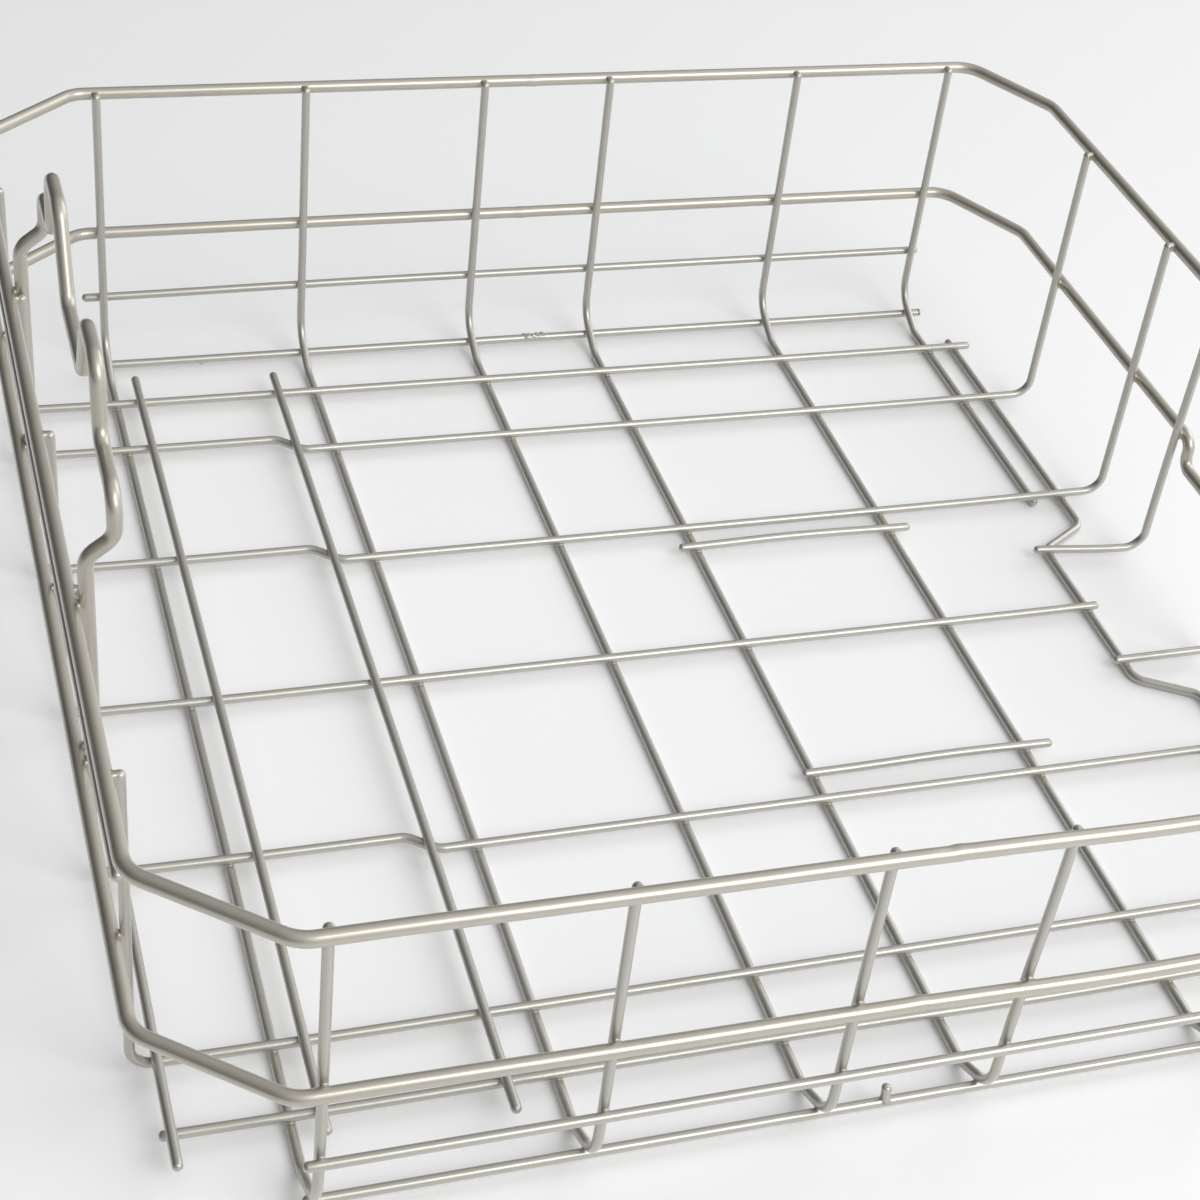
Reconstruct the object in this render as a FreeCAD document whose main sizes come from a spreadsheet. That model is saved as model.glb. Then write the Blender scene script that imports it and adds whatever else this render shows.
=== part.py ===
import FreeCAD, Part
import math
import os
import re
import Sketcher

# Lower basket of a dishwasher, resistance welded from coated steel wire.
# X runs to the right as one faces the basket, Y away from its front and Z up, in millimetres.
# The origin is under the middle of the rim, at the height of the lowest wires.
# Wires crossing at a weld are pressed into each other by the set-in of the weld.

sizes = {
    # wire and welds
    "thin_wire": (3.8, "basket wire over its coating"),
    "thick_wire": (5.4, "frame wire over its coating"),
    "weld_set_in": (0.1, "depth that a weld presses two wires together"),
    "tip_bevel": (1.0, "bevel round the cut end of a thin wire"),
    "thick_tip_bevel": (1.5, "bevel round the cut end of a thick wire"),
    # rim and middle ring
    "rim_width": (506.0, "over the rim, left to right"),
    "rim_depth": (526.4, "over the rim, front to back"),
    "rim_top": (140.3, "top of the rim above the floor"),
    "left_corner_width": (43.5, "cut corner at the left, along the front"),
    "left_corner_depth": (37.1, "cut corner at the left, along the side"),
    "right_corner_width": (25.3, "cut corner at the right, along the front"),
    "right_corner_depth": (44.5, "cut corner at the right, along the side"),
    "ring_bend": (14.0, "bend radius of the rings"),
    "middle_ring_level": (69.0, "axis of the middle ring above the floor"),
    "dip_depth": (13.0, "drop of the middle ring over the notch"),
    "dip_half": (31.0, "half the length of that drop"),
    "dip_bend": (6.0, "bend radius of that drop"),
    # walls
    "upright_stop": (0.8, "from the top of the rim down to an upright's end"),
    "upright_bend": (8.5, "bend radius between a cross wire and its upright"),
    "toe_width": (22.3, "slope under the front and back walls, inwards"),
    "toe_height": (10.8, "slope under the front and back walls, upwards"),
    "toe_bend": (15.0, "bend radius at both ends of that slope"),
    "upper_rod_level": (36.3, "axis of the upper rods above the floor"),
    "lower_rod_gap": (0.5, "from the slope's upper bend down to the lower rod"),
    "wall_rod_level": (109.9, "axis of the left wall rod above the floor"),
    "wall_rod_overhang": (17.0, "left wall rod past its last uprights"),
    "upper_rod_back_left": (9.4, "upper back rod past the first long wire"),
    "upper_rod_back_right": (5.2, "upper back rod past the last long wire"),
    "upper_rod_front_left": (6.0, "upper front rod past the first long wire"),
    "upper_rod_front_right": (8.7, "upper front rod past the last long wire"),
    "lower_rod_left": (2.9, "lower rods past the first long wire"),
    "lower_rod_right": (8.4, "lower rods past the last long wire"),
    # long wires, from left to right
    "long_one_inset": (53.1, "first long wire, from the left of the rings"),
    "long_two_x": (-104.6, "second long wire, from the middle"),
    "long_three_x": (-21.6, "third long wire, from the middle"),
    "long_four_x": (38.7, "fourth long wire, from the middle"),
    "long_five_x": (132.8, "fifth long wire, from the middle"),
    "long_six_inset": (38.2, "divided long wire, from the right of the rings"),
    "long_six_end": (1.9, "divided long wire past its last cross wire"),
    # cross wires, from back to front
    "cross_end_inset": (46.7, "first and last cross wire, from the back and front of the rings"),
    "cross_two_inset": (93.5, "second cross wire right of its jog, from the back of the rings"),
    "cross_three_y": (83.2, "third cross wire right of its jog, from the middle"),
    "cross_four_y": (0.0, "middle cross wire"),
    "cross_five_y": (-98.5, "fifth cross wire right of its jog, from the middle"),
    "cross_six_inset": (78.5, "sixth cross wire, from the front of the rings"),
    "outer_cross_left": (3.9, "first and last cross wire past the outer top wire"),
    "outer_cross_right": (7.3, "first and last cross wire past the notch wire"),
    "jog_left_x": (-130.8, "left corner of the jogs"),
    "jog_right_x": (-120.0, "right corner of the jogs"),
    "jog_step": (9.6, "step of the second and third cross wire"),
    "front_jog_step": (8.5, "step of the fifth cross wire"),
    "jog_bend": (8.0, "bend radius of the jogs"),
    # top wires, from left to right
    "top_one_inset": (13.2, "outer top wire, from the left of the rings"),
    "top_one_back": (10.6, "outer top wire past the first cross wire"),
    "top_one_front": (17.8, "outer top wire past the last cross wire"),
    "top_two_inset": (63.1, "second top wire, from the left of the rings"),
    "top_two_back": (15.7, "second top wire past the first cross wire"),
    "top_two_front": (13.0, "second top wire past the last cross wire"),
    "top_three_x": (-123.7, "third top wire, from the middle"),
    "top_three_back": (11.5, "third top wire past the first cross wire"),
    "top_three_front": (16.8, "third top wire past the last cross wire"),
    # notch in the right side of the floor
    "notch_wire_inset": (23.7, "notch wire, from the right of the rings"),
    "notch_depth": (24.8, "how far the notch wire turns in"),
    "notch_outer_half": (62.0, "half the length of the notch at its mouth"),
    "notch_inner_half": (47.0, "half the length of the notch at its bottom"),
    "notch_bend": (8.0, "bend radius of the notch wire"),
    "notch_wire_overhang": (11.0, "notch wire past the first and last cross wire"),
    "notch_upright_half": (37.6, "from the middle to each notch upright"),
    "notch_upright_end": (6.8, "notch uprights past the notch wire"),
    "middle_cross_end": (3.9, "middle cross wire past the notch wire"),
    # short bars on the floor
    "short_back_y": (69.0, "back short bar"),
    "short_back_left": (9.4, "back short bar past the fourth long wire"),
    "short_back_right": (8.8, "back short bar past the fifth long wire"),
    "short_front_y": (-83.3, "front short bar"),
    "short_front_left": (6.1, "front short bar past the fourth long wire"),
    "short_front_right": (11.2, "front short bar past the fifth long wire"),
    # hook wire on the left wall
    "hook_leg_gap": (0.8, "between the back leg and the upright beside it"),
    "hook_foot": (6.0, "from the middle ring down to a leg's end"),
    "hook_lean_bottom": (156.9, "height where the legs lean inwards"),
    "hook_lean_top": (164.4, "height where the legs stand upright again"),
    "hook_inset": (9.8, "how far the legs lean inwards"),
    "hook_shoulder_level": (180.0, "height of the shoulders"),
    "hook_shoulder_half": (66.7, "from the middle to the foot of a horn"),
    "hook_horn_half": (62.8, "from the middle to the outer corner of a horn"),
    "hook_top_level": (206.7, "axis of the horns' tops"),
    "hook_horn_inner_half": (37.7, "from the middle to the inner corner of a horn"),
    "hook_saddle_half": (21.4, "half the length of the saddle"),
    "hook_saddle_level": (176.9, "height of the saddle"),
    "hook_bend": (8.0, "bend radius of the hook wire"),
    # peg on the lower front rod
    "peg_x": (3.0, "place of the peg"),
    "peg_diameter": (3.6, "over the coating"),
    "peg_height": (6.7, "above the top of the rod"),
    "peg_dome": (1.2, "height of its domed end"),
    "peg_foot_diameter": (4.6, "weld foot round the peg"),
    "peg_foot_rise": (0.8, "weld foot above the top of the rod"),
    "peg_foot_drop": (0.9, "weld foot below the top of the rod"),
}

# Places that follow from the sizes, written as formulas.
places = {
    "mixed_step": "(thick_wire + thin_wire) / 2 - weld_set_in",
    "thin_step": "thin_wire - weld_set_in",
    "thick_step": "thick_wire - weld_set_in",
    "ring_x": "(rim_width - thick_wire) / 2",
    "ring_y": "(rim_depth - thick_wire) / 2",
    "rim_level": "rim_top - thick_wire / 2",
    "side_upright_x": "ring_x - mixed_step",
    "wall_y": "ring_y - mixed_step",
    "upright_end": "rim_top - upright_stop",
    "long_level": "thin_wire / 2",
    "cross_level": "long_level + thin_step",
    "top_level": "cross_level + thin_step",
    "toe_top": "long_level + toe_height",
    "toe_y": "wall_y - toe_width",
    "toe_length": "sqrt(toe_width ^ 2 + toe_height ^ 2)",
    "toe_tangent": "toe_bend * (toe_length - toe_height) / toe_width",
    "rod_along": "toe_length - toe_tangent - lower_rod_gap",
    "lower_rod_y": "toe_y + (rod_along * toe_width + thin_step * toe_height) / toe_length",
    "lower_rod_level": "long_level + (rod_along * toe_height - thin_step * toe_width) / toe_length",
    "rod_top": "thin_wire / 2",
    "upper_rod_y": "wall_y + thin_step",
    "cross_two_left_y": "cross_two_y + jog_step",
    "cross_three_left_y": "cross_three_y + jog_step",
    "cross_five_left_y": "cross_five_y + front_jog_step",
    "long_one_x": "0 - (ring_x - long_one_inset)",
    "long_six_x": "ring_x - long_six_inset",
    "cross_one_y": "ring_y - cross_end_inset",
    "cross_two_y": "ring_y - cross_two_inset",
    "cross_six_y": "0 - (ring_y - cross_six_inset)",
    "cross_seven_y": "0 - cross_one_y",
    "top_one_x": "0 - (ring_x - top_one_inset)",
    "top_two_x": "0 - (ring_x - top_two_inset)",
    "notch_wire_x": "ring_x - notch_wire_inset",
    "notch_in_x": "notch_wire_x - notch_depth",
    "hook_leg_half": "cross_three_left_y + (thin_wire + thick_wire) / 2 + hook_leg_gap",
    "hook_leg_x": "0 - (ring_x - thick_step)",
    "hook_x": "hook_leg_x + hook_inset",
    "wall_rod_x": "0 - (side_upright_x + thin_step)",
}

doc = FreeCAD.newDocument("DishwasherBasket")
sheet = doc.addObject("Spreadsheet::Sheet", "Sizes")
for row, (name, (number, meaning)) in enumerate(sizes.items(), 1):
    sheet.set(f"A{row}", name)
    sheet.set(f"B{row}", str(number))
    sheet.set(f"C{row}", meaning)
    sheet.setAlias(f"B{row}", name)
doc.recompute()


def formula(text):
    """The text as an expression of the sheet's cells, with every place written out."""

    def written_out(match):
        word = match.group(0)
        if word in places:
            return "(" + formula(places[word]) + ")"
        if word in sizes:
            return "Sizes." + word
        return word

    return re.sub(r"[a-z_]+", written_out, text)


def value(text):
    return float(sheet.evalExpression(formula(text)))


def point(x, y, z):
    return FreeCAD.Vector(value(x), value(y), value(z))


def corner_arc(before, corner, after, radius):
    """The arc that rounds a corner, from one straight run to the next."""
    back = (before - corner).normalize()
    ahead = (after - corner).normalize()
    half = back.getAngle(ahead) / 2
    cut = radius / math.tan(half)
    middle = corner + (back + ahead).normalize() * (radius / math.sin(half) - radius)
    return Part.Arc(corner + back * cut, middle, corner + ahead * cut)


def origin_plane(body, role):
    for feature in body.Origin.OriginFeatures:
        if feature.Role == role:
            return feature


def add_sketch(body, name, plane, offset):
    sketch = body.newObject("Sketcher::SketchObject", name)
    sketch.AttachmentSupport = [(origin_plane(body, plane), "")]
    sketch.MapMode = "FlatFace"
    sketch.setExpression(".AttachmentOffset.Base.z", formula(offset))
    return sketch


def bind_point(sketch, geometry, end, across, up):
    """Holds a point of the sketch at a place given by two formulas."""
    for kind, text in (("DistanceX", across), ("DistanceY", up)):
        index = sketch.addConstraint(
            Sketcher.Constraint(kind, -1, 1, geometry, end, value(text))
        )
        sketch.setExpression(f"Constraints[{index}]", formula(text))


def draw_circle(sketch, across, up, diameter):
    circle = Part.Circle(
        FreeCAD.Vector(value(across), value(up), 0),
        FreeCAD.Vector(0, 0, 1),
        value(diameter) / 2,
    )
    sketch.addGeometry(circle)
    index = sketch.addConstraint(
        Sketcher.Constraint("Diameter", 0, value(diameter))
    )
    sketch.setExpression(f"Constraints[{index}]", formula(diameter))
    bind_point(sketch, 0, 3, across, up)


def draw_run(sketch, corners, bend, closed=False):
    """Straight runs from corner to corner, joined by tangent arcs of one radius."""
    points = [FreeCAD.Vector(value(a), value(b), 0) for a, b in corners]
    inner = range(1, len(points) - 1)
    arcs = {
        i: corner_arc(points[i - 1], points[i], points[i + 1], value(bend))
        for i in inner
    }
    lines = []
    for i in range(len(points) - 1):
        start = arcs[i].EndPoint if i in arcs else points[i]
        end = arcs[i + 1].StartPoint if i + 1 in arcs else points[i + 1]
        lines.append(sketch.addGeometry(Part.LineSegment(start, end)))
    for i in inner:
        arc = sketch.addGeometry(arcs[i])
        runs_on = (sketch.getPoint(arc, 1) - arcs[i].StartPoint).Length < 0.001
        first, last = (1, 2) if runs_on else (2, 1)
        sketch.addConstraint(Sketcher.Constraint("Tangent", lines[i - 1], 2, arc, first))
        sketch.addConstraint(Sketcher.Constraint("Tangent", arc, last, lines[i], 1))
        index = sketch.addConstraint(Sketcher.Constraint("Radius", arc, value(bend)))
        sketch.setExpression(f"Constraints[{index}]", formula(bend))
        corner = sketch.addGeometry(Part.Point(points[i]), True)
        sketch.addConstraint(Sketcher.Constraint("PointOnObject", corner, 1, lines[i - 1]))
        sketch.addConstraint(Sketcher.Constraint("PointOnObject", corner, 1, lines[i]))
        bind_point(sketch, corner, 1, *corners[i])
    bind_point(sketch, lines[0], 1, *corners[0])
    if closed:
        sketch.addConstraint(Sketcher.Constraint("Coincident", lines[0], 1, lines[-1], 2))
    else:
        bind_point(sketch, lines[-1], 2, *corners[-1])


def end_edges(shape):
    """The full circles round the flat ends of a wire."""
    names = []
    for number, edge in enumerate(shape.Edges, 1):
        if not edge.isClosed():
            continue
        ends = [
            face
            for face in shape.Faces
            if face.Surface.TypeId == "Part::GeomPlane"
            and any(edge.isSame(rim) for rim in face.Edges)
        ]
        if ends:
            names.append(f"Edge{number}")
    return names


def bevel_ends(body, base, bevel):
    doc.recompute()
    chamfer = body.newObject("PartDesign::Chamfer", body.Name + "Ends")
    chamfer.Base = (base, end_edges(base.Shape))
    chamfer.setExpression("Size", formula(bevel))
    body.Tip = chamfer


# Where a wire's section is drawn, by the axis that its first run follows.
sections = {
    "X": "YZ_Plane",
    "Y": "XZ_Plane",
    "Z": "XY_Plane",
}


def straight_wire(name, axis, start, length, across, up):
    """A straight thin wire, its section padded along the axis."""
    body = doc.addObject("PartDesign::Body", name)
    body.Label = name
    section = add_sketch(body, name + "Section", sections[axis], start)
    draw_circle(section, across, up, "thin_wire")
    pad = body.newObject("PartDesign::Pad", name + "Pad")
    pad.Profile = section
    pad.setExpression("Length", formula(length))
    bevel_ends(body, pad, "tip_bevel")
    return body


def rod_across(name, left, right, y, level):
    return straight_wire(name, "X", left, f"({right}) - ({left})", y, level)


def rod_along(name, back, front, x, level):
    # the normal of this plane points to the front
    return straight_wire(name, "Y", f"0 - ({back})", f"({back}) - ({front})", x, level)


def bent_wire(name, plane, offset, corners, bend, axis, start, across, up):
    """A thin wire bent in one plane, its section carried along its centre line."""
    body = doc.addObject("PartDesign::Body", name)
    body.Label = name
    path = add_sketch(body, name + "Path", plane, offset)
    draw_run(path, corners, bend)
    section = add_sketch(body, name + "Section", sections[axis], start)
    draw_circle(section, across, up, "thin_wire")
    doc.recompute()
    pipe = body.newObject("PartDesign::AdditivePipe", name + "Pipe")
    pipe.Profile = section
    pipe.Spine = (path, [])
    bevel_ends(body, pipe, "tip_bevel")
    return body


def spatial_wire(name, corners, bend, diameter, bevel):
    """A wire bent in more than one plane, carried along its centre line."""
    points = [point(*corner[:3]) for corner in corners]
    radii = [value(corner[3]) if len(corner) > 3 else value(bend) for corner in corners]
    closed = points[0].isEqual(points[-1], 0.001)
    edges = []
    start = points[0]
    for i in range(1, len(points) - 1):
        arc = corner_arc(points[i - 1], points[i], points[i + 1], radii[i])
        edges.append(Part.LineSegment(start, arc.StartPoint).toShape())
        edges.append(arc.toShape())
        start = arc.EndPoint
    edges.append(Part.LineSegment(start, points[-1]).toShape())
    route = Part.Wire(edges)
    circle = Part.Circle(points[0], points[1] - points[0], value(diameter) / 2)
    solid = route.makePipeShell([Part.Wire([circle.toShape()])], True, False)
    if not closed:
        rims = [solid.Edges[int(edge[4:]) - 1] for edge in end_edges(solid)]
        solid = solid.makeChamfer(value(bevel), rims)
    feature = doc.addObject("Part::Feature", name)
    feature.Label = name
    feature.Shape = solid
    feature.Placement = FreeCAD.Placement()
    return feature


parts = []

# The rim, a closed ring with four cut corners, butt welded in the middle of the back.
ring_plan = [
    ("0", "ring_y"),
    ("ring_x - right_corner_width", "ring_y"),
    ("ring_x", "ring_y - right_corner_depth"),
    ("ring_x", "0 - (ring_y - right_corner_depth)"),
    ("ring_x - right_corner_width", "0 - ring_y"),
    ("0 - (ring_x - left_corner_width)", "0 - ring_y"),
    ("0 - ring_x", "0 - (ring_y - left_corner_depth)"),
    ("0 - ring_x", "ring_y - left_corner_depth"),
    ("0 - (ring_x - left_corner_width)", "ring_y"),
    ("0", "ring_y"),
]
rim = doc.addObject("PartDesign::Body", "rim_ring")
rim.Label = "rim_ring"
rim_path = add_sketch(rim, "RimPath", "XY_Plane", "rim_level")
draw_run(rim_path, ring_plan, "ring_bend", closed=True)
rim_section = add_sketch(rim, "RimSection", "YZ_Plane", "0")
draw_circle(rim_section, "ring_y", "rim_level", "thick_wire")
doc.recompute()
rim_pipe = rim.newObject("PartDesign::AdditivePipe", "RimPipe")
rim_pipe.Profile = rim_section
rim_pipe.Spine = (rim_path, [])
rim.Tip = rim_pipe
parts.append(rim)

# The middle ring has the same plan and drops over the notch in the right side.
dip_level = "middle_ring_level - dip_depth"
middle_corners = [(x, y, "middle_ring_level") for x, y in ring_plan]
middle_corners[3:3] = [
    ("ring_x", "dip_half", "middle_ring_level", "dip_bend"),
    ("ring_x", "dip_half", dip_level, "dip_bend"),
    ("ring_x", "0 - dip_half", dip_level, "dip_bend"),
    ("ring_x", "0 - dip_half", "middle_ring_level", "dip_bend"),
]
parts.append(
    spatial_wire("middle_ring", middle_corners, "ring_bend", "thick_wire", "thick_tip_bevel")
)

# Long wires: down the back wall, under the floor and up the front wall.
long_wires = ["long_one_x", "long_two_x", "long_three_x", "long_four_x", "long_five_x"]
for number, x in enumerate(long_wires, 1):
    parts.append(
        bent_wire(
            f"long_wire_{number}",
            "YZ_Plane",
            x,
            [
                ("wall_y", "upright_end"),
                ("wall_y", "toe_top"),
                ("toe_y", "long_level"),
                ("0 - toe_y", "long_level"),
                ("0 - wall_y", "toe_top"),
                ("0 - wall_y", "upright_end"),
            ],
            "toe_bend",
            "Z",
            "upright_end",
            x,
            "wall_y",
        )
    )

# The sixth long wire is divided at the notch, each half ending under a cross wire.
halves = {
    "back": ("", "cross_three_y - long_six_end"),
    "front": ("0 - ", "cross_five_y + long_six_end"),
}
for side, (sign, end) in halves.items():
    parts.append(
        bent_wire(
            f"long_wire_6_{side}",
            "YZ_Plane",
            "long_six_x",
            [
                (sign + "wall_y", "upright_end"),
                (sign + "wall_y", "toe_top"),
                (sign + "toe_y", "long_level"),
                (end, "long_level"),
            ],
            "toe_bend",
            "Z",
            "upright_end",
            "long_six_x",
            sign + "wall_y",
        )
    )

# First and last cross wire: straight, over the long wires.
for number, y in ((1, "cross_one_y"), (7, "cross_seven_y")):
    parts.append(
        rod_across(
            f"cross_wire_{number}",
            "top_one_x - outer_cross_left",
            "notch_wire_x + outer_cross_right",
            y,
            "cross_level",
        )
    )

# Second, third and fifth cross wire: an upright at each end and a jog in the floor.
jogged = {
    2: ("cross_two_y", "cross_two_left_y"),
    3: ("cross_three_y", "cross_three_left_y"),
    5: ("cross_five_y", "cross_five_left_y"),
}
for number, (y, left_y) in jogged.items():
    parts.append(
        spatial_wire(
            f"cross_wire_{number}",
            [
                ("0 - side_upright_x", left_y, "upright_end"),
                ("0 - side_upright_x", left_y, "cross_level"),
                ("jog_left_x", left_y, "cross_level", "jog_bend"),
                ("jog_right_x", y, "cross_level", "jog_bend"),
                ("side_upright_x", y, "cross_level"),
                ("side_upright_x", y, "upright_end"),
            ],
            "upright_bend",
            "thin_wire",
            "tip_bevel",
        )
    )

# The middle cross wire ends on the notch wire, the sixth has both uprights.
left_half = [
    ("0 - side_upright_x", "upright_end"),
    ("0 - side_upright_x", "cross_level"),
]
right_half = [
    ("side_upright_x", "cross_level"),
    ("side_upright_x", "upright_end"),
]
flat_cross = {
    4: ("cross_four_y", [("notch_in_x + middle_cross_end", "cross_level")]),
    6: ("cross_six_y", right_half),
}
for number, (y, right_end) in flat_cross.items():
    parts.append(
        bent_wire(
            f"cross_wire_{number}",
            "XZ_Plane",
            f"0 - {y}",
            left_half + right_end,
            "upright_bend",
            "Z",
            "upright_end",
            "0 - side_upright_x",
            y,
        )
    )

# Uprights beside the notch stand on the notch wire.
for side, y in (("back", "notch_upright_half"), ("front", "0 - notch_upright_half")):
    parts.append(
        bent_wire(
            f"notch_upright_{side}",
            "XZ_Plane",
            f"0 - ({y})",
            right_half[::-1] + [("notch_in_x - notch_upright_end", "cross_level")],
            "upright_bend",
            "Z",
            "upright_end",
            "side_upright_x",
            y,
        )
    )

# The notch wire lies beside the long wires and turns in round the notch.
notch_tip = "cross_one_y + notch_wire_overhang"
parts.append(
    bent_wire(
        "notch_wire",
        "XY_Plane",
        "long_level",
        [
            ("notch_wire_x", notch_tip),
            ("notch_wire_x", "notch_outer_half"),
            ("notch_in_x", "notch_inner_half"),
            ("notch_in_x", "0 - notch_inner_half"),
            ("notch_wire_x", "0 - notch_outer_half"),
            ("notch_wire_x", "cross_seven_y - notch_wire_overhang"),
        ],
        "notch_bend",
        "Y",
        f"0 - ({notch_tip})",
        "notch_wire_x",
        "long_level",
    )
)

# Top wires lie on the cross wires.
for number, name in enumerate(("top_one", "top_two", "top_three"), 1):
    parts.append(
        rod_along(
            f"top_wire_{number}",
            f"cross_one_y + {name}_back",
            f"cross_seven_y - {name}_front",
            f"{name}_x",
            "top_level",
        )
    )

# Rods along the front and back walls, outside the long wires.
for side, sign in (("back", ""), ("front", "0 - ")):
    parts.append(
        rod_across(
            f"{side}_upper_rod",
            f"long_one_x - upper_rod_{side}_left",
            f"long_six_x + upper_rod_{side}_right",
            f"{sign}upper_rod_y",
            "upper_rod_level",
        )
    )
    parts.append(
        rod_across(
            f"{side}_lower_rod",
            "long_one_x - lower_rod_left",
            "long_six_x + lower_rod_right",
            f"{sign}lower_rod_y",
            "lower_rod_level",
        )
    )

# A rod along the left wall, outside its uprights.
parts.append(
    rod_along(
        "left_wall_rod",
        "cross_two_left_y + wall_rod_overhang",
        "cross_six_y - wall_rod_overhang",
        "wall_rod_x",
        "wall_rod_level",
    )
)

# Short bars lie on the fourth and fifth long wire.
for side in ("back", "front"):
    parts.append(
        rod_across(
            f"short_bar_{side}",
            f"long_four_x - short_{side}_left",
            f"long_five_x + short_{side}_right",
            f"short_{side}_y",
            "cross_level",
        )
    )

# The hook wire: two legs on the left wall, a horn over each and a saddle between.
hook_half = [
    ("hook_leg_x", "hook_leg_half", "middle_ring_level - hook_foot"),
    ("hook_leg_x", "hook_leg_half", "hook_lean_bottom"),
    ("hook_x", "hook_leg_half", "hook_lean_top"),
    ("hook_x", "hook_leg_half", "hook_shoulder_level"),
    ("hook_x", "hook_shoulder_half", "hook_shoulder_level"),
    ("hook_x", "hook_horn_half", "hook_top_level"),
    ("hook_x", "hook_horn_inner_half", "hook_top_level"),
    ("hook_x", "hook_saddle_half", "hook_saddle_level"),
]
other_half = [(x, "0 - " + y, z) for x, y, z in reversed(hook_half)]
parts.append(
    spatial_wire("hook_wire", hook_half + other_half, "hook_bend", "thick_wire", "thick_tip_bevel")
)

# The peg stands on the lower front rod: a pin with a domed end in a coned weld foot,
# hollowed below to sit on the wire. Its outline is drawn from the middle of the rod.
peg = doc.addObject("PartDesign::Body", "locating_peg")
peg.Label = "locating_peg"
peg_outline = add_sketch(peg, "PegOutline", "XZ_Plane", "lower_rod_y")
peg_outline.setExpression(".AttachmentOffset.Base.x", formula("peg_x"))
peg_outline.setExpression(".AttachmentOffset.Base.y", formula("lower_rod_level"))
peg_corners = [
    ("0", "rod_top - peg_foot_drop"),
    ("peg_foot_diameter / 2", "rod_top - peg_foot_drop"),
    ("peg_foot_diameter / 2", "rod_top"),
    ("peg_diameter / 2", "rod_top + peg_foot_rise"),
    ("peg_diameter / 2", "rod_top + peg_height - peg_dome"),
    ("0", "rod_top + peg_height"),
]
peg_points = [FreeCAD.Vector(value(r), value(h), 0) for r, h in peg_corners]
for i in range(4):
    peg_outline.addGeometry(Part.LineSegment(peg_points[i], peg_points[i + 1]))
dome_radius = (value("peg_diameter / 2") ** 2 + value("peg_dome") ** 2) / value("2 * peg_dome")
dome_centre = peg_points[5] - FreeCAD.Vector(0, dome_radius, 0)
dome_middle = dome_centre + ((peg_points[4] + peg_points[5]) / 2 - dome_centre).normalize() * dome_radius
peg_outline.addGeometry(Part.Arc(peg_points[4], dome_middle, peg_points[5]))
peg_outline.addGeometry(Part.LineSegment(peg_points[5], peg_points[0]))
for i in range(3):
    peg_outline.addConstraint(Sketcher.Constraint("Coincident", i, 2, i + 1, 1))
dome_start = 1 if (peg_outline.getPoint(4, 1) - peg_points[4]).Length < 0.001 else 2
peg_outline.addConstraint(Sketcher.Constraint("Coincident", 3, 2, 4, dome_start))
peg_outline.addConstraint(Sketcher.Constraint("Coincident", 4, 3 - dome_start, 5, 1))
peg_outline.addConstraint(Sketcher.Constraint("Coincident", 5, 2, 0, 1))
peg_outline.addConstraint(Sketcher.Constraint("PointOnObject", 4, 3, -2))
for i in range(4):
    bind_point(peg_outline, i, 1, *peg_corners[i])
bind_point(peg_outline, 3, 2, *peg_corners[4])
bind_point(peg_outline, 5, 1, *peg_corners[5])
peg_turned = peg.newObject("PartDesign::Revolution", "PegTurned")
peg_turned.Profile = peg_outline
peg_turned.ReferenceAxis = (peg_outline, ["V_Axis"])
peg_turned.Angle = 360
seat_section = add_sketch(peg, "PegSeatSection", "YZ_Plane", "peg_x + peg_foot_diameter")
draw_circle(seat_section, "0 - lower_rod_y", "lower_rod_level", "thin_wire")
seat = peg.newObject("PartDesign::Pocket", "PegSeat")
seat.Profile = seat_section
seat.setExpression("Length", formula("2 * peg_foot_diameter"))
doc.recompute()
if seat.Shape.Volume >= peg_turned.Shape.Volume:
    raise RuntimeError("the seat of the peg cuts nothing")
peg.Tip = seat
parts.append(peg)

doc.recompute()
for item in doc.Objects:
    if "Invalid" in item.State or "Error" in item.State:
        raise RuntimeError(f"{item.Label} could not be computed")
for part in parts:
    if part.Shape.isNull() or not part.Shape.isValid() or len(part.Shape.Solids) != 1:
        raise RuntimeError(f"{part.Label} is not one valid solid")

os.makedirs("parts", exist_ok=True)
for part in parts:
    part.Shape.exportStep(f"parts/{part.Label}.step")
    box = part.Shape.BoundBox
    print(
        f"{part.Label}: {part.Shape.Volume / 1000:.2f} cm3,"
        f" {box.XLength:.1f} x {box.YLength:.1f} x {box.ZLength:.1f} mm"
    )
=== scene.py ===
import math

import bpy
import numpy as np
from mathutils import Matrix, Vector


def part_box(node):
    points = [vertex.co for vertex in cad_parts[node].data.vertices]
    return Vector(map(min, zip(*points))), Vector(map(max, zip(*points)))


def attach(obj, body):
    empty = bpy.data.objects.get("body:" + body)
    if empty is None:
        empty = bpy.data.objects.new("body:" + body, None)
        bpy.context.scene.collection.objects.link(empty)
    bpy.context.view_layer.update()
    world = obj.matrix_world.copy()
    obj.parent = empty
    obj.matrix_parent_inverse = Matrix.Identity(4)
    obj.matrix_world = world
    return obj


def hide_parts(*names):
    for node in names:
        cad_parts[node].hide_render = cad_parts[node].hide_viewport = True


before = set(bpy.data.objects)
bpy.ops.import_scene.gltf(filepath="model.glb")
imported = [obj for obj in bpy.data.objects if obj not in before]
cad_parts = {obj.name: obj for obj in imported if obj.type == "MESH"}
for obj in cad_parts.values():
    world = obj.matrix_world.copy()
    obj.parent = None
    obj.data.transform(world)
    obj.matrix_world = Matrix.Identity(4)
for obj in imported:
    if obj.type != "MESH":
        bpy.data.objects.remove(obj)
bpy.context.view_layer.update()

print("stage: frame loaded,", len(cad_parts), "nodes")

# Lengths here are in millimetres. Meshes are written in metres.
millimetre = 0.001


def boxOf(node):
    low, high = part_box(node)
    return np.array(low) / millimetre, np.array(high) / millimetre


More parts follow.
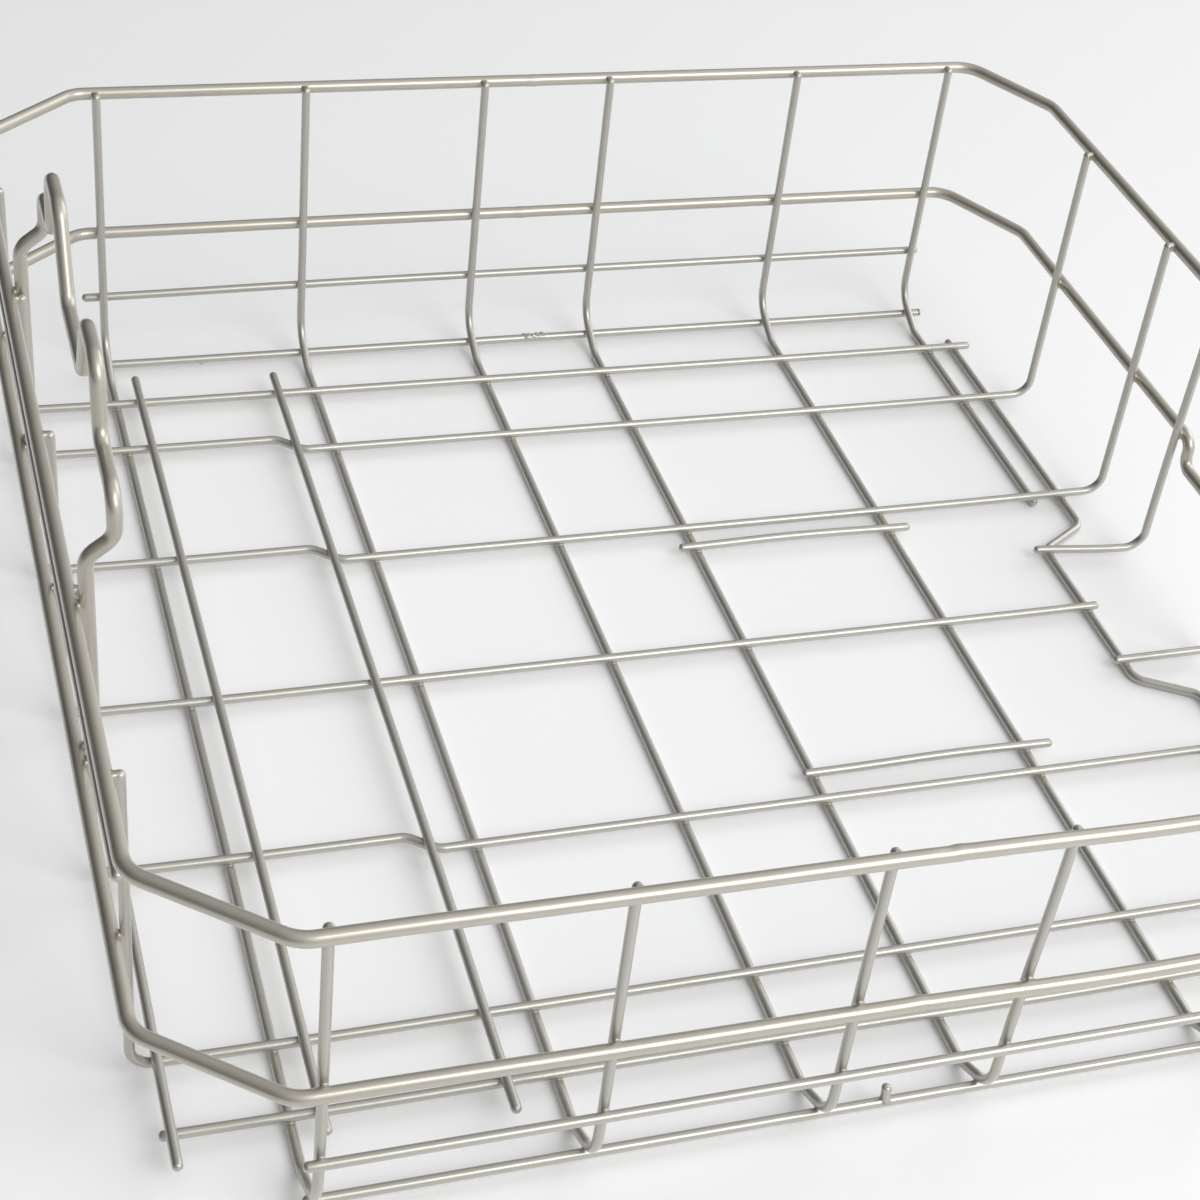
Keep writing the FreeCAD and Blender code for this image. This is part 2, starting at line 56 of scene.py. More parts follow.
def middleOf(node):
    low, high = boxOf(node)
    return (low + high) / 2


def sizeOf(node):
    low, high = boxOf(node)
    return high - low


wire = {
    "thin": sizeOf("top_wire_1")[2],
    "thick": sizeOf("rim_ring")[2],
    "thinSides": 20,
    "thickSides": 28,
    "straightStep": 5.0,    # longest stretch between stations on a straight run
    "ringStep": 1.5,
    "markedStep": 0.5,      # where the coating has lumps
    "bendTurn": 6.0,        # degrees between stations in a bend
    "tipLength": 0.9,       # dome over a cut end, as a share of the radius
    "tipRings": 6,
}
thinRadius = wire["thin"] / 2
thickRadius = wire["thick"] / 2


def unit(v):
    return v / np.linalg.norm(v, axis=-1, keepdims=True)


def straightRun(start, end, step):
    count = max(int(math.ceil(np.linalg.norm(end - start) / step)), 1)
    share = np.arange(count)[:, None] / count
    return start + (end - start) * share


# A route is straight runs between corners, each corner rounded by a tangent arc.
# A point of an arc is its centre, less the inward radius times the cosine of the turn,
# less the way back times the radius and the sine of the turn.
def roundedRoute(corners, bends, step, closed=False):
    corners = [np.array(c, float) for c in corners]
    if np.isscalar(bends):
        bends = [bends] * len(corners)
    runs = []
    start = corners[0]
    for i in range(1, len(corners) - 1):
        back = unit(corners[i - 1] - corners[i])
        ahead = unit(corners[i + 1] - corners[i])
        half = math.acos(np.clip(back @ ahead, -1, 1)) / 2
        cut = bends[i] / math.tan(half)
        arcStart = corners[i] + back * cut
        centre = corners[i] + unit(back + ahead) * bends[i] / math.sin(half)
        inward = unit(centre - arcStart)
        turn = math.pi - 2 * half
        count = max(int(math.ceil(math.degrees(turn) / wire["bendTurn"])), 2)
        turns = (np.arange(count) / count * turn)[:, None]
        runs.append(straightRun(start, arcStart, step))
        runs.append(centre - inward * bends[i] * np.cos(turns) - back * bends[i] * np.sin(turns))
        start = corners[i] + ahead * cut
    runs.append(straightRun(start, corners[-1], step))
    if not closed:
        runs.append(corners[-1][None])
    return np.vstack(runs)


routes = {}


def layWire(node, route, radius, reference, closed=False):
    # keeps a wire's route until all are laid and the used bends are in
    routes[node] = {"route": route, "radius": radius, "reference": reference, "closed": closed}


# The two rings: half widths from the frame, corners cut at 45 degrees or so.
ring = {
    "leftCut": (43.5, 37.1),    # how much a cut corner takes off the front or back, and off the side
    "rightCut": (25.3, 44.5),
    "bend": 14.0,
    "dipHalf": 31.0,        # half the width of the dip over the notch
    "dipBend": 6.0,
}


def ringPlan(halfX, halfY, level):
    leftX, leftY = ring["leftCut"]
    rightX, rightY = ring["rightCut"]
    return [
        (0, halfY, level),
        (halfX - rightX, halfY, level),
        (halfX, halfY - rightY, level),
        (halfX, rightY - halfY, level),
        (halfX - rightX, -halfY, level),
        (leftX - halfX, -halfY, level),
        (-halfX, leftY - halfY, level),
        (-halfX, halfY - leftY, level),
        (leftX - halfX, halfY, level),
        (0, halfY, level),
    ]


def outwardFrom(route):
    # reference direction of a ring: away from its middle, level
    return unit(route * np.array([1.0, 1.0, 0.0]))


ringHalf = sizeOf("rim_ring") / 2 - thickRadius
rimLevel = middleOf("rim_ring")[2]
rimPlan = ringPlan(ringHalf[0], ringHalf[1], rimLevel)
rimRoute = roundedRoute(rimPlan, ring["bend"], wire["ringStep"], True)
layWire("rim_ring", rimRoute, thickRadius, outwardFrom(rimRoute), True)

dipLow, dipHigh = boxOf("middle_ring")
middleLevel = dipHigh[2] - thickRadius
dipLevel = dipLow[2] + thickRadius
middlePlan = ringPlan(ringHalf[0], ringHalf[1], middleLevel)
middleBends = [ring["bend"]] * len(middlePlan)
middlePlan[3:3] = [
    (ringHalf[0], ring["dipHalf"], middleLevel),
    (ringHalf[0], ring["dipHalf"], dipLevel),
    (ringHalf[0], -ring["dipHalf"], dipLevel),
    (ringHalf[0], -ring["dipHalf"], middleLevel),
]
middleBends[3:3] = [ring["dipBend"]] * 4
middleRoute = roundedRoute(middlePlan, middleBends, wire["ringStep"], True)
layWire("middle_ring", middleRoute, thickRadius, outwardFrom(middleRoute), True)
print("stage: rings bent")

# Long wires: up the back wall, along the floor and up the front wall.
longWire = {
    "toeWidth": 22.3,       # the slope between wall and floor
    "toeHeight": 10.8,
    "toeBend": 15.0,
    "frontShort": 1.3,      # the front uprights end lower, sunk in the rim's weld
}
sideways = np.array([1.0, 0.0, 0.0])
inward = np.array([0.0, 1.0, 0.0])
upward = np.array([0.0, 0.0, 1.0])


def longCorners(x, wall, top, level, sign):
    # the back end of a long wire, or the front one where the sign is -1
    toeTop = level + longWire["toeHeight"]
    toeY = wall - longWire["toeWidth"]
    return [(x, sign * wall, top), (x, sign * wall, toeTop), (x, sign * toeY, level)]


for number in range(1, 6):
    node = f"long_wire_{number}"
    low, high = boxOf(node)
    x, wall = (low[0] + high[0]) / 2, high[1] - thinRadius
    top, level = high[2], low[2] + thinRadius
    corners = longCorners(x, wall, top, level, 1)
    corners += longCorners(x, wall, top - longWire["frontShort"], level, -1)[::-1]
    route = roundedRoute(corners, longWire["toeBend"], wire["straightStep"])
    layWire(node, route, thinRadius, sideways)
for side, sign in (("back", 1), ("front", -1)):
    node = f"long_wire_6_{side}"
    low, high = boxOf(node)
    wall = (high[1] if sign > 0 else -low[1]) - thinRadius
    end = low[1] if sign > 0 else high[1]
    x, level = (low[0] + high[0]) / 2, low[2] + thinRadius
    corners = longCorners(x, wall, high[2], level, sign) + [(x, end, level)]
    route = roundedRoute(corners, longWire["toeBend"], wire["straightStep"])
    layWire(node, route, thinRadius, sideways)
print("stage: long wires bent")

# Cross wires: straight ones, and ones with uprights and a jog.
crossWire = {
    "uprightBend": 8.5,
    "jogLeft": -130.8,      # the jog slants from here
    "jogRight": -120.0,     # to here, along X
    "jogBend": 8.0,
}


def addRod(node, axis, step=wire["straightStep"]):
    # a straight wire from end to end of its node's box
    low, high = boxOf(node)
    start = (low + high) / 2
    end = start.copy()
    start[axis], end[axis] = low[axis], high[axis]
    route = np.vstack([straightRun(start, end, step), end])
    layWire(node, route, thinRadius, upward)


for number in (1, 7):
    addRod(f"cross_wire_{number}", 0)
for number in (2, 3, 5):
    node = f"cross_wire_{number}"
    low, high = boxOf(node)
    left, right = low[0] + thinRadius, high[0] - thinRadius
    leftY, rightY = high[1] - thinRadius, low[1] + thinRadius
    level = low[2] + thinRadius
    corners = [
        (left, leftY, high[2]),
        (left, leftY, level),
        (crossWire["jogLeft"], leftY, level),
        (crossWire["jogRight"], rightY, level),
        (right, rightY, level),
        (right, rightY, high[2]),
    ]
    halfBends = [0, crossWire["uprightBend"], crossWire["jogBend"]]
    route = roundedRoute(corners, halfBends + halfBends[::-1], wire["straightStep"])
    layWire(node, route, thinRadius, inward)
# These have no jog, and an upright at the left, at the right or at both ends.
crossLevel = boxOf("cross_wire_4")[0][2] + thinRadius
for node, uprightLeft, uprightRight in (
    ("cross_wire_4", True, False),
    ("cross_wire_6", True, True),
    ("notch_upright_back", False, True),
    ("notch_upright_front", False, True),
):
    low, high = boxOf(node)
    y = (low[1] + high[1]) / 2
    left = low[0] + thinRadius if uprightLeft else low[0]
    right = high[0] - thinRadius if uprightRight else high[0]
    corners = [(left, y, high[2])] * uprightLeft
    corners += [(left, y, crossLevel), (right, y, crossLevel)]
    corners += [(right, y, high[2])] * uprightRight
    route = roundedRoute(corners, crossWire["uprightBend"], wire["straightStep"])
    layWire(node, route, thinRadius, inward)
print("stage: cross wires bent")

# The notch wire, and the straight rods and bars.
notch = {"outerHalf": 62.0, "innerHalf": 47.0, "bend": 8.0}
low, high = boxOf("notch_wire")
outerX, innerX = high[0] - thinRadius, low[0] + thinRadius
level = (low[2] + high[2]) / 2
corners = [
    (outerX, high[1], level),
    (outerX, notch["outerHalf"], level),
    (innerX, notch["innerHalf"], level),
    (innerX, -notch["innerHalf"], level),
    (outerX, -notch["outerHalf"], level),
    (outerX, low[1], level),
]
notchRoute = roundedRoute(corners, notch["bend"], wire["straightStep"])
layWire("notch_wire", notchRoute, thinRadius, upward)
for number in (1, 2, 3):
    addRod(f"top_wire_{number}", 1)
addRod("left_wall_rod", 1)
addRod("back_lower_rod", 0, wire["markedStep"])
for node in ("back_upper_rod", "front_upper_rod", "front_lower_rod"):
    addRod(node, 0)
for node in ("short_bar_back", "short_bar_front"):
    addRod(node, 0)
print("stage: rods laid")

# The hook wire: legs, leans, shoulders, horns and the saddle between them.
hook = {
    "leanBottom": 156.9,    # heights along the leg and over the horns
    "leanTop": 164.4,
    "shoulder": 180.0,
    "saddle": 176.9,
    "shoulderHalf": 66.7,   # half widths along Y
    "hornHalf": 62.8,
    "hornInnerHalf": 37.7,
    "saddleHalf": 21.4,
    "bend": 8.0,
}
low, high = boxOf("hook_wire")
legX, hookX, legY = low[0] + thickRadius, high[0] - thickRadius, high[1] - thickRadius
topLevel = high[2] - thickRadius
half = [
    (legX, legY, low[2]),
    (legX, legY, hook["leanBottom"]),
    (hookX, legY, hook["leanTop"]),
    (hookX, legY, hook["shoulder"]),
    (hookX, hook["shoulderHalf"], hook["shoulder"]),
    (hookX, hook["hornHalf"], topLevel),
    (hookX, hook["hornInnerHalf"], topLevel),
    (hookX, hook["saddleHalf"], hook["saddle"]),
]
corners = half + [(x, -y, z) for x, y, z in half[::-1]]
hookRoute = roundedRoute(corners, hook["bend"], wire["ringStep"])
layWire("hook_wire", hookRoute, thickRadius, sideways)
print("stage: hook wire bent")

# The basket is used, and some wires are bent a little. Each bend moves what stands near its
# place by shift * exp(-(x / reachX)^2 - (y / reachY)^2 - (z / reachZ)^2), so welds stay shut.
usedBends = [
    # front wall stands high on the left
    {"place": (-200, -262, 103), "reach": (95, 70, 34), "shift": (0, 0, 4.0)},
    # and sags on the right
    {"place": (75, -262, 103), "reach": (60, 60, 34), "shift": (0, 0, -5.7)},
    # rim's butt weld is a step
    {"place": (-5, -260.5, 137.6), "reach": (5, 8, 8), "shift": (0, 0.2, -0.4)},
    # one front upright leans right
    {"place": (38.7, -258, 139), "reach": (24, 20, 70), "shift": (3, 0, 0)},
    # and its neighbour a little
    {"place": (-21.6, -258, 139), "reach": (24, 20, 50), "shift": (0.5, 0, 0)},
    # back wall sags on the left
    {"place": (-205, 256, 45), "reach": (85, 30, 28), "shift": (0, 0, -1.2)},
    # back notch wire lies askew
    {"place": (190, 37.6, 8), "reach": (30, 12, 3.2), "shift": (-3.2, 10.0, 0)},
    # notch upright leans forward
    {"place": (246, 37.6, 135), "reach": (20, 16, 60), "shift": (0, -2.2, 0)},
    # floor rises to its left edge
    {"place": (-250, 0, 4), "reach": (42, 400, 24), "shift": (0, 0, 0.9)},
    # and a little to the right one
    {"place": (245, 60, 4), "reach": (48, 200, 24), "shift": (0, 0, 0.6)},
    # floor's front left is pushed left
    {"place": (-160, -225, 5), "reach": (80, 80, 20), "shift": (-1.0, 0, 0)},
    # front cross wire bows forward
    {"place": (90, -213.8, 6), "reach": (60, 14, 9), "shift": (0, -1.2, 0)},
    # back short bar bows up
    {"place": (85, 69, 7), "reach": (42, 8, 9), "shift": (0, 0, 1.3)},
    # front short bar bows up
    {"place": (100, -83.3, 7), "reach": (36, 8, 9), "shift": (0, 0, 1.2)},
]
# The rings stay inside the basket's size where a butt weld swells them.
buttWelds = {
    "places": [(2.3, 260.5, 137.6), (-1.6, -260.5, 137.6), (2.0, 260.5, 69.0), (-1.8, -260.5, 69.0)],
    "reach": (3.5, 6, 6),
    "drawnIn": 0.22,
}
for place in buttWelds["places"]:
    shift = (0, -math.copysign(buttWelds["drawnIn"], place[1]), 0)
    usedBends.append({"place": place, "reach": buttWelds["reach"], "shift": shift})


def bentInUse(points):
    moved = np.array(points, float)
    for bend in usedBends:
        apart = (points - np.array(bend["place"])) / np.array(bend["reach"])
        moved += np.exp(-(apart ** 2).sum(-1, keepdims=True)) * np.array(bend["shift"])
    return moved


for laid in routes.values():
    laid["route"] = bentInUse(laid["route"])
print("stage: used bends put in")

# Coating: a champagne grey flake coat under a clear glossy one, smooth but not quite even.
coating = {
    "light": (0.53, 0.51, 0.462),
    "dark": (0.44, 0.43, 0.385),
    "metallic": 0.75,
    "roughness": 0.40,
    "roughnessSpread": 0.10,
    "clearCoat": 1.0,
    "clearRoughness": 0.09,
    "cloudSize": 60.0,       # noise cells in a metre
    "flakeSize": 2600.0,
    "flakeShare": 0.45,      # the rest of the colour's change is clouds
    "rippleSize": 420.0,
    "rippleDepth": 0.000012,    # metres
    "thinTint": (1.0, 1.0, 1.0),
    "thickTint": (1.03, 1.0, 0.955),    # the thick wires are a touch warmer
}


def coatingMaterial(name, tint):
    # colour = two greys mixed by a cloudy noise and a fine flake noise
    # roughness = its mean plus the flakes; bump = the slow ripple of a dipped coat
    material = bpy.data.materials.new(name)
    material.use_nodes = True
    nodes = material.node_tree.nodes
    links = material.node_tree.links
    shader = nodes["Principled BSDF"]
    place = nodes.new("ShaderNodeTexCoord")

    def noise(scale, detail):
        node = nodes.new("ShaderNodeTexNoise")
        node.inputs["Scale"].default_value = scale
        node.inputs["Detail"].default_value = detail
        links.new(place.outputs["Object"], node.inputs["Vector"])
        return node.outputs["Fac"]

    cloud = noise(coating["cloudSize"], 3)
    flakes = noise(coating["flakeSize"], 1)
    ripple = noise(coating["rippleSize"], 2)
    both = nodes.new("ShaderNodeMix")
    both.inputs["Factor"].default_value = coating["flakeShare"]
    links.new(cloud, both.inputs["A"])
    links.new(flakes, both.inputs["B"])
    colour = nodes.new("ShaderNodeMix")
    colour.data_type = "RGBA"
    for end, grey in (("A", "dark"), ("B", "light")):
        tinted = [c * t for c, t in zip(coating[grey], tint)]
        colour.inputs[end].default_value = (*tinted, 1)
    links.new(both.outputs["Result"], colour.inputs["Factor"])
    links.new(colour.outputs["Result"], shader.inputs["Base Color"])
    spread = nodes.new("ShaderNodeMapRange")
    halfSpread = coating["roughnessSpread"] / 2
    spread.inputs["To Min"].default_value = coating["roughness"] - halfSpread
    spread.inputs["To Max"].default_value = coating["roughness"] + halfSpread
    links.new(flakes, spread.inputs["Value"])
    links.new(spread.outputs["Result"], shader.inputs["Roughness"])
    bump = nodes.new("ShaderNodeBump")
    bump.inputs["Distance"].default_value = coating["rippleDepth"]
    links.new(ripple, bump.inputs["Height"])
    links.new(bump.outputs["Normal"], shader.inputs["Normal"])
    shader.inputs["Metallic"].default_value = coating["metallic"]
    shader.inputs["Coat Weight"].default_value = coating["clearCoat"]
    shader.inputs["Coat Roughness"].default_value = coating["clearRoughness"]
    return material


basketCoating = coatingMaterial("basketCoating", coating["thinTint"])
frameCoating = coatingMaterial("frameCoating", coating["thickTint"])
print("stage: coatings mixed")

# A wire's skin is a circle carried along its route. The circle's first radius is the part
# of the reference direction that is square to the route, and the second one is square to both.
# A cut end closes in a dome: the radius falls by the cosine while the station runs on by the sine.
def carriedCircle(route, radii, sides, reference, closed):
    if closed:
        along = unit(np.roll(route, -1, axis=0) - np.roll(route, 1, axis=0))
    else:
        along = unit(np.gradient(route, axis=0))
    reference = np.broadcast_to(reference, route.shape)
    first = unit(reference - (reference * along).sum(1, keepdims=True) * along)
    second = np.cross(along, first)
    turns = np.arange(sides) / sides * 2 * math.pi
    cosine, sine = np.cos(turns)[None, :, None], np.sin(turns)[None, :, None]
    circle = cosine * first[:, None] + sine * second[:, None]
    return route[:, None] + radii[:, None, None] * circle


def domedRoute(route, radius):
    # the dome's stations stand before the first and after the last point of the body
    length = wire["tipLength"] * radius
    rise = np.arange(1, wire["tipRings"]) / wire["tipRings"] * math.pi / 2
    startWay = unit(route[0] - route[1])
    endWay = unit(route[-1] - route[-2])
    body = route.copy()
    body[0] -= startWay * length
    body[-1] -= endWay * length
    rings = np.sin(rise)[:, None] * length
    stations = np.vstack([body[0] + startWay * rings[::-1], body, body[-1] + endWay * rings])
    domeRadii = np.cos(rise) * radius
    radii = np.concatenate([domeRadii[::-1], np.full(len(body), radius), domeRadii])
    return stations, radii


def gridFaces(rows, sides, closed):
    # four-cornered faces between rows of vertices, each row closed on itself
    row = np.arange(rows if closed else rows - 1)[:, None]
    side = np.arange(sides)[None, :]
    nextRow = (row + 1) % rows
    nextSide = (side + 1) % sides
    corners = [
        row * sides + side,
        row * sides + nextSide,
        nextRow * sides + nextSide,
        nextRow * sides + side,
    ]
    return np.stack(corners, axis=-1).reshape(-1, 4)


def addPiece(name, vertices, faces, material, node=None):
    mesh = bpy.data.meshes.new(name)
    mesh.from_pydata((np.asarray(vertices) * millimetre).tolist(), [], faces)
    mesh.validate()
    mesh.shade_smooth()
    mesh.materials.append(material)
    piece = bpy.data.objects.new(name, mesh)
    bpy.context.scene.collection.objects.link(piece)
    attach(piece, "root")
    if node:
        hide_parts(node)


# Marks in the coating: the skin rises by rise * exp(-(distance / reach)^2) round a place.
# A mark with a girdle goes right round the wire, so only the distance along it counts.
skinMarks = [
    {"node": node, "place": place, "reach": reach, "rise": rise, "girdle": girdle}
    for node, place, reach, rise, girdle in (
        ("rim_ring", (2.3, 260.5, 137.6), 1.2, 0.18, True),
        ("rim_ring", (-2.4, -260.5, 137.6), 1.5, 0.20, True),
        ("middle_ring", (2.0, 260.5, 69.0), 1.2, 0.18, True),
        ("middle_ring", (-1.8, -260.5, 69.0), 1.2, 0.18, True),
        ("back_lower_rod", (-153.5, 247.6, 3.3), 1.0, 0.7, False),     # a drip
        ("long_wire_6_back", (212.1, 82.0, 3.2), 1.3, 0.5, False),
    )
]
# A rough patch of lumps lies along the back lower rod, on its top and inner side.
patch = {
    "node": "back_lower_rod",
    "startX": 5.6,
    "length": 10.0,
    "lumps": 22,
    "reach": 0.62,
    "rise": 0.48,
    "around": 85,           # degrees from the rod's front side over its top
    "aroundSpread": 60,
}
patchMiddle = middleOf(patch["node"])
for k in range(patch["lumps"]):
    # sines of the lump's number scatter the lumps, the same at each run
    around = math.radians(patch["around"] + patch["aroundSpread"] * math.sin(2.4 * k + 0.7))
    skinMarks.append({
        "node": patch["node"],
        "place": (
            patch["startX"] + patch["length"] * (k + 0.5) / patch["lumps"],
            patchMiddle[1] - thinRadius * math.cos(around),
            patchMiddle[2] + thinRadius * math.sin(around),
        ),
        "reach": patch["reach"] * (1 + 0.3 * math.sin(5.1 * k)),
        "rise": patch["rise"] * (1 + 0.5 * math.sin(3.7 * k + 1)),
        "girdle": False,
    })


def marked(node, skin, route):
    # skin: rows by sides by 3, one row for each point of the route
    away = unit(skin - route[:, None])
    rise = np.zeros(skin.shape[:2])
    for mark in skinMarks:
        if mark["node"] != node:
            continue
        place = bentInUse(np.array([mark["place"]]))[0]
        if mark["girdle"]:
            apart = np.linalg.norm(route - place, axis=1)[:, None]
        else:
            apart = np.linalg.norm(skin - place, axis=2)
        rise = rise + mark["rise"] * np.exp(-(apart / mark["reach"]) ** 2)
    return skin + away * rise[..., None]


def skinWire(node, laid):
    route, radius, reference = laid["route"], laid["radius"], laid["reference"]
    if radius > thinRadius:
        sides, material, slotName = wire["thickSides"], frameCoating, "frame_wire"
    else:
        sides, material, slotName = wire["thinSides"], basketCoating, "basket_wire"
    if laid["closed"]:
        stations, radii = route, np.full(len(route), radius)
    else:
        stations, radii = domedRoute(route, radius)
    skin = carriedCircle(stations, radii, sides, reference, laid["closed"])
    skin = marked(node, skin, stations)
    rows = len(stations)
    vertices = skin.reshape(-1, 3)
    faces = gridFaces(rows, sides, laid["closed"]).tolist()
    if not laid["closed"]:
        side = np.arange(sides)
        nextSide = (side + 1) % sides
        lastRow = (rows - 1) * sides
        startPole = np.full(sides, rows * sides)
        vertices = np.vstack([vertices, route[0], route[-1]])
        faces += np.stack([startPole, nextSide, side], axis=1).tolist()
        faces += np.stack([startPole + 1, lastRow + side, lastRow + nextSide], axis=1).tolist()
    addPiece(node + "_coated", vertices, faces, material, node)


for node, laid in routes.items():
    skinWire(node, laid)
print("stage: wires coated,", len(routes), "wires")

# The peg turns about its own axis: its radius is a function of height, through a flared
# foot (a quarter circle's hollow), a straight pin and a dome.
peg = {
    "radius": 1.8,
    "dome": 1.2,
    "footRadius": 2.4,
    "lean": -0.10,          # sideways for each millimetre of height
    "footRise": 1.3,
    "footSink": 0.45,       # the foot starts this far below the rod's top, in radii of the rod
    "sides": 24,
    "rings": 9,
}
low, high = boxOf("locating_peg")
rodMiddle = middleOf("front_lower_rod")
pegX = (low[0] + high[0]) / 2
share = np.arange(peg["rings"]) / (peg["rings"] - 1)
rodTop = rodMiddle[2] + thinRadius
footBottom = rodTop - thinRadius * peg["footSink"]
footHeights = footBottom + share * (rodTop + peg["footRise"] - footBottom)
footRadii = peg["radius"] + (peg["footRadius"] - peg["radius"]) * (1 - np.sqrt(1 - (1 - share) ** 2))
rise = np.arange(peg["rings"]) / peg["rings"] * math.pi / 2
heights = np.concatenate([footHeights, high[2] - peg["dome"] * (1 - np.sin(rise))])
radii = np.concatenate([footRadii, peg["radius"] * np.cos(rise)])
turns = np.arange(peg["sides"]) / peg["sides"] * 2 * math.pi
skin = np.stack([
    pegX + radii[:, None] * np.cos(turns) + peg["lean"] * (heights[:, None] - rodTop),
    rodMiddle[1] + radii[:, None] * np.sin(turns),
    np.broadcast_to(heights[:, None], (len(heights), peg["sides"])),
], axis=-1)
poles = [[pegX + peg["lean"] * (z - rodTop), rodMiddle[1], z] for z in (high[2], footBottom)]
vertices = bentInUse(np.vstack([skin.reshape(-1, 3), poles]))
side = np.arange(peg["sides"])
nextSide = (side + 1) % peg["sides"]
topPole = np.full(peg["sides"], len(heights) * peg["sides"])
lastRow = (len(heights) - 1) * peg["sides"]
faces = gridFaces(len(heights), peg["sides"], False).tolist()
faces += np.stack([topPole, lastRow + side, lastRow + nextSide], axis=1).tolist()
faces += np.stack([topPole + 1, nextSide, side], axis=1).tolist()
addPiece("locating_peg_coated", vertices, faces, basketCoating, "locating_peg")
print("stage: peg turned")

# Welds: where two wires touch, coating fills the crevice round the contact. At each turn
# about the contact, the fillet stands where the gap between the two round wires is one web
# high. It runs out along both wires, and between its edges it is a cubic curve that starts
# along the one wire and ends along the other:
# P = (1-t)^3 A + 3 t (1-t)^2 A' + 3 t^2 (1-t) B' + t^3 B.
weld = {
    "reach": 0.45,          # farthest apart that two wires still weld
    "web": 0.80,            # gap that the coating bridges
    "ringWeb": 1.30,        # the same where a ring is welded
    "webSpread": 0.18,      # how much one weld differs from the next, as a share
    "flare": 0.50,          # how far the fillet runs out over the wires
    "wrap": 0.93,           # share of a wire's radius that the fillet may go round
    "sink": 0.02,           # how deep the fillet's edges lie in the wires
    "pull": 1.1,            # how long the curve keeps to the wire it leaves
    "pullFrom": 0.72,       # share of the stand where a straight curve would turn
    "turns": 24,
    "rows": 9,
    "farthest": 0.98,       # the stand is looked for up to this share of the radius,
    "halvings": 24,         # by halving the range this many times
    "searchStep": 2.0,      # between the points that a wire is searched at
    "searchRounds": 6,
    "searchStride": 2.0,    # longest move along a wire in one round
    "wayStep": 0.3,         # half the stretch that gives a wire's direction
    "stretchGap": 4,        # stations between two stretches of one pair of wires
    "floorTop": 12.0,       # welds below this height are floor welds
    "endless": 1000.0,      # a ring has no ends to stop at
    "endPlay": 0.03,        # slack at a cut end
}


def runOf(route):
    # how far along the wire each point of its route lies
    return np.concatenate([[0], np.cumsum(np.linalg.norm(np.diff(route, axis=0), axis=1))])


def placeAt(at, run, route):
    # the place a given way along the wire
    return np.stack([np.interp(at, run, route[:, k]) for k in range(3)], axis=-1)


def wayAt(at, run, route):
    step = weld["wayStep"]
    return unit(placeAt(at + step, run, route) - placeAt(at - step, run, route))


def contactsOf(a, b):
    # each stretch where two routes come near gives one contact, made exact by
    # stepping both points to where the lines through them pass closest
    reach = a["radius"] + b["radius"] + weld["reach"]
    if np.any(a["low"] - reach > b["high"]) or np.any(b["low"] - reach > a["high"]):
        return []
    apart = np.linalg.norm(a["points"][:, None] - b["points"][None], axis=2)
    closest = apart.argmin(1)
    gap = apart.min(1)
    near = np.flatnonzero(gap < reach + weld["searchStep"])
    stride = weld["searchStride"]
    endA, endB = a["run"][-1], b["run"][-1]
    found = []
    for stretch in np.split(near, np.flatnonzero(np.diff(near) > weld["stretchGap"]) + 1):
        if not len(stretch):
            continue
        i = stretch[gap[stretch].argmin()]
        atA, atB = a["at"][i], b["at"][closest[i]]
        for _ in range(weld["searchRounds"]):
            pointA, pointB = placeAt(atA, a["run"], a["route"]), placeAt(atB, b["run"], b["route"])
            wayA, wayB = wayAt(atA, a["run"], a["route"]), wayAt(atB, b["run"], b["route"])
            between, skew = pointB - pointA, wayA @ wayB
            rest = max(1 - skew ** 2, 0.05)    # kept off zero where the wires run alike
            moveA = (between @ wayA - skew * (between @ wayB)) / rest
            moveB = (skew * (between @ wayA) - between @ wayB) / rest
            atA = np.clip(atA + np.clip(moveA, -stride, stride), 0, endA)
            atB = np.clip(atB + np.clip(moveB, -stride, stride), 0, endB)
        if np.linalg.norm(pointB - pointA) < reach:
            toEnds = (a["play"] + atA, a["play"] + endA - atA, b["play"] + atB, b["play"] + endB - atB)
            found.append((pointA, wayA, a["radius"], pointB, wayB, b["radius"], toEnds))
    return found


